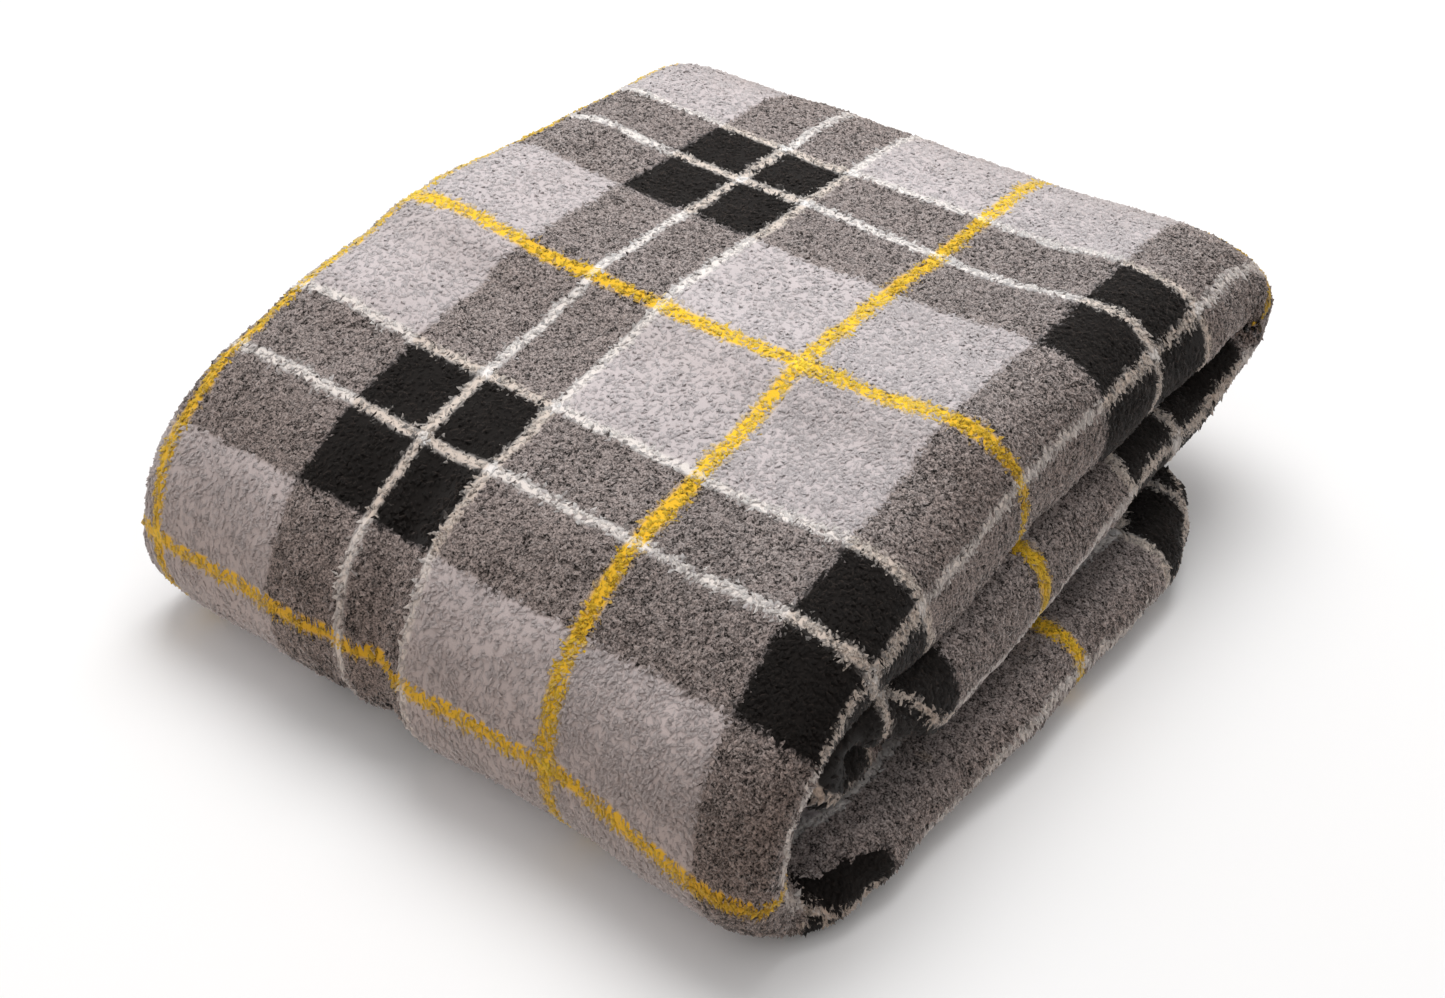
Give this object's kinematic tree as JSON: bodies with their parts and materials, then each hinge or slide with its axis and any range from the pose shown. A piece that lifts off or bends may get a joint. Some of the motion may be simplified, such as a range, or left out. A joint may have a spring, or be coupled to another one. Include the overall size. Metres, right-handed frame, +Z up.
{
  "type": "camp blanket",
  "caption": "Thick plush tartan camp blanket, folded into a soft square bundle with a rounded front fold that opens out flat.",
  "frame": {"origin": "middle of the folded bundle's footprint, on the ground it lies on", "axes": "+Z up through the layers, +Y from the rounded front fold to the back fold, +X to the bundle's right, along the front fold"},
  "size_m": [0.4756, 0.522, 0.1761],
  "materials": {
    "plush": "deep curled pile in a tartan of lilac grey, heather and near-black squares with yellow and white lines",
    "hem": "turned edge of the same pile cloth, pile pressed flat",
    "thread": "matt grey sewing thread, lockstitch"
  },
  "bodies": {
    "lower_half": {"bottom_face_end_hem": "hem", "bottom_face_panel": "plush", "bottom_left_flap_end_hem": "hem", "bottom_left_flap_panel": "plush", "bottom_left_flap_side_hem": "hem", "bottom_left_fold": "plush", "bottom_right_flap_end_hem": "hem", "bottom_right_flap_panel": "plush", "bottom_right_flap_side_hem": "hem", "bottom_right_fold": "plush", "front_fold_core_face": "plush", "front_fold_core_left_flap": "plush", "front_fold_core_right_flap": "plush", "front_fold_outer_face": "plush", "front_fold_outer_left_flap": "plush", "front_fold_outer_right_flap": "plush", "third_face_end_hem": "hem", "third_face_panel": "plush", "third_left_flap_end_hem": "hem", "third_left_flap_panel": "plush", "third_left_flap_side_hem": "hem", "third_left_fold": "plush", "third_right_flap_end_hem": "hem", "third_right_flap_panel": "plush", "third_right_flap_side_hem": "hem", "third_right_fold": "plush"},
    "upper_half": {"back_fold_face": "plush", "back_fold_left_flap": "plush", "back_fold_right_flap": "plush", "second_face_panel": "plush", "second_left_flap_panel": "plush", "second_left_flap_side_hem": "hem", "second_left_fold": "plush", "second_right_flap_panel": "plush", "second_right_flap_side_hem": "hem", "second_right_fold": "plush", "top_face_panel": "plush", "top_left_flap_panel": "plush", "top_left_flap_side_hem": "hem", "top_left_fold": "plush", "top_right_flap_panel": "plush", "top_right_flap_side_hem": "hem", "top_right_fold": "plush"}
  },
  "joints": [
    {"name": "main_fold", "type": "hinge", "parent": "lower_half", "child": "upper_half", "pos_m": [0, -0.1728, 0.08805], "axis": [1, 0, 0], "range_deg": [0, 180], "deforming": ["front_fold_core_face", "front_fold_core_left_flap", "front_fold_core_right_flap", "front_fold_outer_face", "front_fold_outer_left_flap", "front_fold_outer_right_flap"]}
  ]
}
